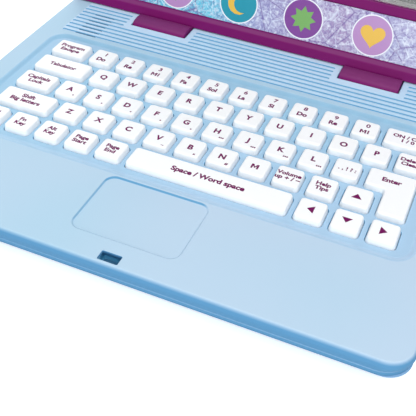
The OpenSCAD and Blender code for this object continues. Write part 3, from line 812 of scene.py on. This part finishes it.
def inside_surround(bar):
    x0, y0, x1, y1 = surround
    return round_rect(x0 + bar, y0 + bar, x1 - bar, y1 - bar, 3 * mm)


def purple_plastic():
    material = new_material("lid_plastic", 0.12)
    drift = fine_grain(material, 800, 0.025 * mm, 0.42, 0.06)
    deep = tinted(material, drift, linear(120, 17, 99), 0.08)
    # Painted sheen: faces turned up get a paler, greyer purple.
    sky_sheen = remap(material, axes(material, coordinates(material)["Normal"])["Z"], 0.5, 0.8)
    colour = blend(material, sky_sheen, deep, linear(123, 48, 107))
    join(material, colour, surface(material)["Base Color"])
    return material


def hinge_barrel(moulding, x_middle):
    """One barrel with its flattened crown and the neck that joins it to the frame."""
    barrel_r, crown_r, crown_z = 7.6 * mm, 18 * mm, axis_deep + 2.4 * mm
    bezel_bottom = foot_up + 3 * mm
    neck = [(math.sqrt(barrel_r ** 2 - face ** 2), -face),
            (bezel_bottom, -face - 0.3 * mm), (bezel_bottom, -bezel_back + 0.1 * mm)]
    section = []
    first_angle = 195
    arc_steps, neck_from, neck_to = 48, 21, 28
    for k in (*range(neck_from), *range(neck_to, arc_steps)):
        if k == neck_to:
            section += neck
        angle = math.radians(first_angle - k * 360 / arc_steps)
        y, z = barrel_r * math.cos(angle), barrel_r * math.sin(angle)
        z = min(z, math.sqrt(crown_r ** 2 - y ** 2) + crown_z - crown_r)
        up, out = y * math.sin(lean) + z * math.cos(lean), z * math.sin(lean) - y * math.cos(lean)
        section.append((up, out))
    middle = Vector((sum(p[0] for p in section), sum(p[1] for p in section))) / len(section)
    soft = 0.6 * mm
    rings = []
    for x, shrink in ((-barrel_half, soft), (-barrel_half + soft * 0.3, soft * 0.3),
                      (-barrel_half + soft, 0), (barrel_half - soft, 0),
                      (barrel_half - soft * 0.3, soft * 0.3), (barrel_half, soft)):
        ring = []
        for up, out in section:
            away = Vector((up, out)) - middle
            away = away.normalized() * (away.length - shrink)
            ring.append(moulding.mesh.verts.new((x_middle + x, middle.x + away.x,
                                                 middle.y + away.y)))
        rings.append(ring)
    moulding.solid(rings)


def lid_frame():
    bezel = Moulding("lid_frame")
    soft = 1.6 * mm
    rings = [lid_ring(bezel, inset, z, 0.4 * inset)
             for inset, z in rounded_edge(-face, soft, 6)]
    rings += [lid_ring(bezel, 0, -bezel_back),
              lid_ring(bezel, lid_wall, -bezel_back, foot_wall),
              lid_ring(bezel, lid_wall, field_back, foot_wall)]
    bezel.wall(rings)
    slope_x, slope_w = rim_w - 1 * mm, 3.4 * mm
    field = round_rect(-lid_x + slope_x, foot_up + slope_x, lid_x - slope_x, lid_top - slope_x,
                       7 * mm)
    field_top, field_floor = s_edge(bezel, field, -face, field_z, slope_w)
    bezel.flat(rings[0], [field_top])
    raised = round_rect(*surround, surround_corner)
    rise = [bezel.ring(outline(raised, inset), z)
            for inset, z in reversed(rounded_edge(surround_z, 0.7 * mm))]
    rise.insert(0, bezel.ring(outline(raised, 0), field_z))
    bezel.wall(rise)
    bezel.flat(field_floor, [rise[0]])
    # Inside the surround the frame drops to the ledge that carries the window.
    drop = [bezel.ring(outline(inside_surround(surround_bar), inset - 0.5 * mm), z)
            for inset, z in ((0, surround_z), (0.3 * mm, field_z + 0.7 * mm),
                             (0.5 * mm, field_z + 0.4 * mm), (0.5 * mm, ledge_z),
                             (3.5 * mm, ledge_z), (3.5 * mm, field_back))]
    bezel.wall(drop)
    bezel.flat(rise[-1], [drop[0]])
    bezel.flat(rings[-1], [drop[-1]])
    for side in (-1, 1):
        hinge_barrel(bezel, side * barrel_x)
    # The latch hook: a stem as far out as the latch slot, with a nose at its end.
    hook_y = lid_top - (latch[1] + latch[3]) / 2 + front
    half, thick, reach = 3.9 * mm, 1.1 * mm, 6.2 * mm
    stem = [bezel.ring(outline(round_rect(-half, hook_y - thick, half, hook_y + thick,
                                          0.5 * mm), inset, 4), z)
            for inset, z in ((0, -face - 0.5 * mm), (0, reach - face - 0.3 * mm),
                             (0.3 * mm, reach - face))]
    bezel.solid(stem)
    nose = [bezel.ring(outline(round_rect(-half, hook_y - thick - 1 * mm, half,
                                          hook_y, 0.5 * mm), inset, 4), z)
            for inset, z in ((0.3 * mm, reach - face - 1.5 * mm), (0, reach - face - 1.2 * mm),
                             (0, reach - face - 0.4 * mm), (0.4 * mm, reach - face - 0.05 * mm))]
    bezel.solid(nose)
    piece = bezel.made([purple], in_lid)
    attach(piece, "lid")
    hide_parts("lid_bezel")


purple = purple_plastic()
lid_frame()


# ---- Back of the lid ----------------------------------------------------------------------
# The purple rear moulding, with a deep round on its back edge, a shallow sunk panel and four
# screw wells near its corners.
panel_inset, panel_low, panel_corner = 26 * mm, 34 * mm, 14 * mm
panel_deep, panel_edge_w = 0.7 * mm, 2.4 * mm
lid_middle = 90 * mm
screw_well = ((3.6, 0), (3.3, 0.15), (3.2, 0.4), (3.2, 1.6))


def back_cover():
    cover = Moulding("back_cover")
    soft = 4 * mm
    rings = [lid_ring(cover, lid_wall, -lid_back + lid_wall, foot_wall),
             lid_ring(cover, lid_wall, -bezel_back, foot_wall), lid_ring(cover, 0, -bezel_back)]
    rings += [lid_ring(cover, inset, z)
              for inset, z in reversed(rounded_edge(-lid_back, soft, 7, 1))]
    cover.wall(rings)
    cover.flat(rings[0])
    panel = round_rect(-lid_x + panel_inset, panel_low, lid_x - panel_inset,
                       lid_top - panel_inset, panel_corner)
    outer, inner = s_edge(cover, panel, -lid_back, -lid_back + panel_deep, panel_edge_w)
    cover.flat(inner)
    wells = []
    screws = frame["nodes"]["lid_screws"].data.vertices
    flat_screws = [in_lid.inverted() @ v.co for v in screws]
    for side in (-1, 1):
        for end in (-1, 1):
            group = [p for p in flat_screws if p.x * side > 0 and (p.y - lid_middle) * end > 0]
            x = (min(p.x for p in group) + max(p.x for p in group)) / 2
            y = (min(p.y for p in group) + max(p.y for p in group)) / 2
            well = [cover.ring(circle(r * mm, 24, x, y), -lid_back + deep * mm)
                    for r, deep in screw_well]
            cover.wall(well)
            cover.flat(well[-1])
            wells.append(well[0])
    cover.flat(rings[-1], [outer, *wells])
    piece = cover.made([purple], in_lid)
    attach(piece, "lid")
    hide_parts("lid_cover")


back_cover()


# ---- Printed panel ------------------------------------------------------------------------
# A glossy printed sheet glued into the field of the lid around the display. Its print fades
# from turquoise through violet to pale blue, under cracked ice and round picture badges.
def frost_print():
    material = new_material("frost_print")
    fine_grain(material, 500, 0.01 * mm, 0.28, 0.04)
    place = axes(material, coordinates(material)["Object"])
    sway = 0.09
    shift = add_node(material, "Math", Operation="MULTIPLY_ADD")
    shift.inputs[1].default_value = sway
    wander = texture(material, "Noise", Scale=16.0, Detail=3.0)
    join(material, wander["Fac"], shift.inputs[0])
    join(material, place["X"], shift.inputs[2])
    fade = add_node(material, "ValToRGB")
    stops = ((0.0, (40, 176, 208)), (0.34, (96, 196, 222)), (0.52, (156, 156, 200)),
             (0.7, (164, 142, 184)), (0.86, (166, 176, 214)), (1.0, (180, 212, 236)))
    ramp = fade.color_ramp.elements
    ramp[0].position, ramp[0].color = stops[0][0], linear(*stops[0][1])
    ramp[1].position, ramp[1].color = stops[-1][0], linear(*stops[-1][1])
    for position, tint in stops[1:-1]:
        ramp.new(position).color = linear(*tint)
    fade_from, fade_to = -85 * mm, 175 * mm
    join(material, remap(material, shift.outputs[0], fade_from, fade_to), fade.inputs["Fac"])
    colour = fade.outputs["Color"]
    shade = axes(material, texture(material, "Voronoi", Scale=900.0)["Color"])
    for channel, tint, amount in (("X", (236, 244, 252), 0.42), ("Y", (96, 84, 160), 0.36)):
        strength = remap(material, shade[channel], 0.35, 1, 0, amount)
        colour = blend(material, strength, colour, linear(*tint))
    cracks = ((75.0, 0.022, (232, 242, 252), 0.6), (190.0, 0.045, (226, 238, 250), 0.35),
              (40.0, 0.02, (100, 66, 148), 0.8), (95.0, 0.025, (110, 88, 160), 0.55))
    for scale, width, tint, amount in cracks:
        cells = texture(material, "Voronoi", Feature="DISTANCE_TO_EDGE", Scale=scale)
        strength = remap(material, cells["Distance"], 0, width, amount, 0)
        colour = blend(material, strength, colour, linear(*tint))
    snow = texture(material, "Noise", Scale=420.0, Detail=5.0)
    flecks = remap(material, snow["Fac"], 0.52, 0.7, 0, 0.6)
    colour = blend(material, flecks, colour, linear(240, 246, 252))
    join(material, colour, surface(material)["Base Color"])
    return material


def badge_colours():
    return [plain_finish("badge_" + name, colour, 0.3, grain=500, height=0.005, amount=0.1)
            for name, colour in (("white", (242, 244, 250)), ("teal", (20, 150, 172)),
                                 ("purple", (128, 62, 150)), ("mauve", (186, 140, 196)),
                                 ("yellow", (238, 190, 70)), ("green", (120, 176, 96)),
                                 ("rose", (206, 92, 136)))]


def star_points(radius, spikes, dip):
    points = []
    for k in range(2 * spikes, 0, -1):
        r = radius if k % 2 == 0 else radius * dip
        points.append((r * math.sin(math.pi * k / spikes), r * math.cos(math.pi * k / spikes)))
    return points


def heart_points(size):
    points = []
    for k in range(28):
        t = 2 * math.pi * k / 28
        up = (0.81 * math.cos(t) - 0.31 * math.cos(2 * t) - 0.13 * math.cos(3 * t)
              - 0.06 * math.cos(4 * t))
        points.append((-size * math.sin(t) ** 3, size * up))
    return points


def leaf_points(size):
    points = [(size * 0.42 * math.sin(math.pi * k / 10), size * (k / 5 - 1)) for k in range(11)]
    return points + [(-x, y) for x, y in reversed(points[1:-1])]


def moon_points(size):
    outer = [(size * math.cos(a), size * math.sin(a))
             for a in (math.radians(50 + 26 * k) for k in range(11))]
    inner = [(0.35 * size + 0.78 * size * math.cos(a), 0.78 * size * math.sin(a))
             for a in (math.radians(287 - 21.4 * k) for k in range(1, 10))]
    return outer + inner


def print_panel():
    sheet = Moulding("printed_sheet")
    clear, bevel, gap = 0.9 * mm, 0.05 * mm, 0.6 * mm
    field = round_rect(-lid_x + rim_w, foot_up + rim_w, lid_x - rim_w, lid_top - rim_w, 6 * mm)
    hole = round_rect(*surround, surround_corner)
    print_z = field_z + 0.4 * mm
    edges = [(clear, field_z), (clear, print_z - bevel), (clear + bevel, print_z)]
    outer = [sheet.ring(outline(field, inset), z) for inset, z in edges]
    inner = [sheet.ring(outline(hole, -inset + gap), z) for inset, z in edges]
    sheet.wall(outer)
    sheet.wall(inner)
    sheet.flat(outer[-1], [inner[-1]])
    sheet.flat(outer[0], [inner[0]])

    def patch(points, x, y, layer, finish):
        thin = 0.03 * mm
        sheet.solid([sheet.ring([(x + a, y + b) for a, b in points], print_z + z)
                     for z in (-thin, thin * layer)], finish)

    white, teal, purple_print, mauve, yellow, green, rose = range(1, 8)

    def badge(x, y, radius, finish, motif, motif_finish):
        """A disc with a white rim and a small picture."""
        patch(circle(radius, 40), x, y, 1, white)
        patch(circle(radius * 0.94, 40), x, y, 2, finish)
        patch(motif, x, y, 3, motif_finish)

    strip_y, strip_r, side_r = foot_up + 21.8 * mm, 12.2 * mm, 8.6 * mm
    badges = ((-106, teal, star_points(7.6 * mm, 5, 0.45), yellow),
              (-63, mauve, leaf_points(7.6 * mm), green),
              (-22, teal, moon_points(6.8 * mm), yellow),
              (19, purple_print, star_points(7.8 * mm, 8, 0.62), green),
              (61, mauve, heart_points(7.4 * mm), yellow),
              (105, teal, leaf_points(7.6 * mm), green))
    for x, finish, motif, motif_finish in badges:
        badge(x * mm, strip_y, strip_r, finish, motif, motif_finish)
    side_x = (surround[2] + lid_x - rim_w) / 2
    for side in (-1, 1):
        for k, motif in enumerate((star_points(5 * mm, 6, 0.5), heart_points(5 * mm),
                                   moon_points(4.6 * mm))):
            badge(side * side_x, (62 + 34 * k) * mm, side_r,
                  (teal, purple_print, mauve)[(k + side) % 3], motif,
                  (yellow, green, rose)[(k + (side > 0)) % 3])
    piece = sheet.made([frost_print(), *badge_colours()], in_lid)
    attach(piece, "lid")
    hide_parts("print_panel")


print_panel()


# ---- Display ------------------------------------------------------------------------------
# A clear acrylic window with a grey and a dark band printed round its back, and behind it the
# flat grey-green display, which shows only its fine grid of dots.
def window_clear():
    material = new_material("window_clear")
    surface(material)["Base Color"].default_value = (0.94, 0.96, 0.95, 1)
    surface(material)["Transmission Weight"].default_value = 1
    surface(material)["IOR"].default_value = 1.3
    fine_grain(material, 300, 0.002 * mm, 0.05, 0.02)
    return material


def dot_display():
    material = new_material("dot_display")
    drift = fine_grain(material, 400, 0.004 * mm, 0.3, 0.04)
    colour = tinted(material, drift, linear(126, 138, 118), 0.1)
    place = axes(material, coordinates(material)["Object"])
    half_pitch, line_w = 0.55 * mm, 0.12 * mm
    for axis in ("X", "Z"):
        wave = add_node(material, "Math", Operation="PINGPONG")
        wave.inputs[1].default_value = half_pitch
        join(material, place[axis], wave.inputs[0])
        line = remap(material, wave.outputs[0], 0, line_w, 0.35, 0)
        colour = blend(material, line, colour, linear(150, 160, 140))
    join(material, colour, surface(material)["Base Color"])
    return material


def display():
    pane = Moulding("window_pane")
    corners = inside_surround(surround_bar + 0.15 * mm)
    pane.solid([pane.ring(outline(corners, inset), z) for inset, z in (
        (0.2 * mm, field_z - 0.98 * mm), (0, field_z - 0.8 * mm), (0, field_z - 0.2 * mm),
        (0.2 * mm, field_z))])
    piece = pane.made([window_clear()], in_lid)
    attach(piece, "lid")
    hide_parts("screen_window")
    mask = Moulding("window_mask")
    mask_back, mask_front = field_z - 0.995 * mm, field_z - 0.985 * mm
    in_dark = 1
    edge, border, view = ([mask.ring(outline(corners, inset * mm), z)
                           for z in (mask_back, mask_front)] for inset in (0.6, 3, 9))
    mask.wall(edge)
    mask.wall(view, in_dark)
    for face in (0, 1):
        mask.flat(edge[face], [border[face]])
        mask.flat(border[face], [view[face]], in_dark)
    piece = mask.made([plain_finish(name, colour, 0.35, grain=500, height=0.004, amount=0.06)
                       for name, colour in (("mask_grey", (122, 118, 120)),
                                            ("mask_dark", (58, 60, 64)))], in_lid)
    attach(piece, "lid")


dress("display_module", dot_display())
display()
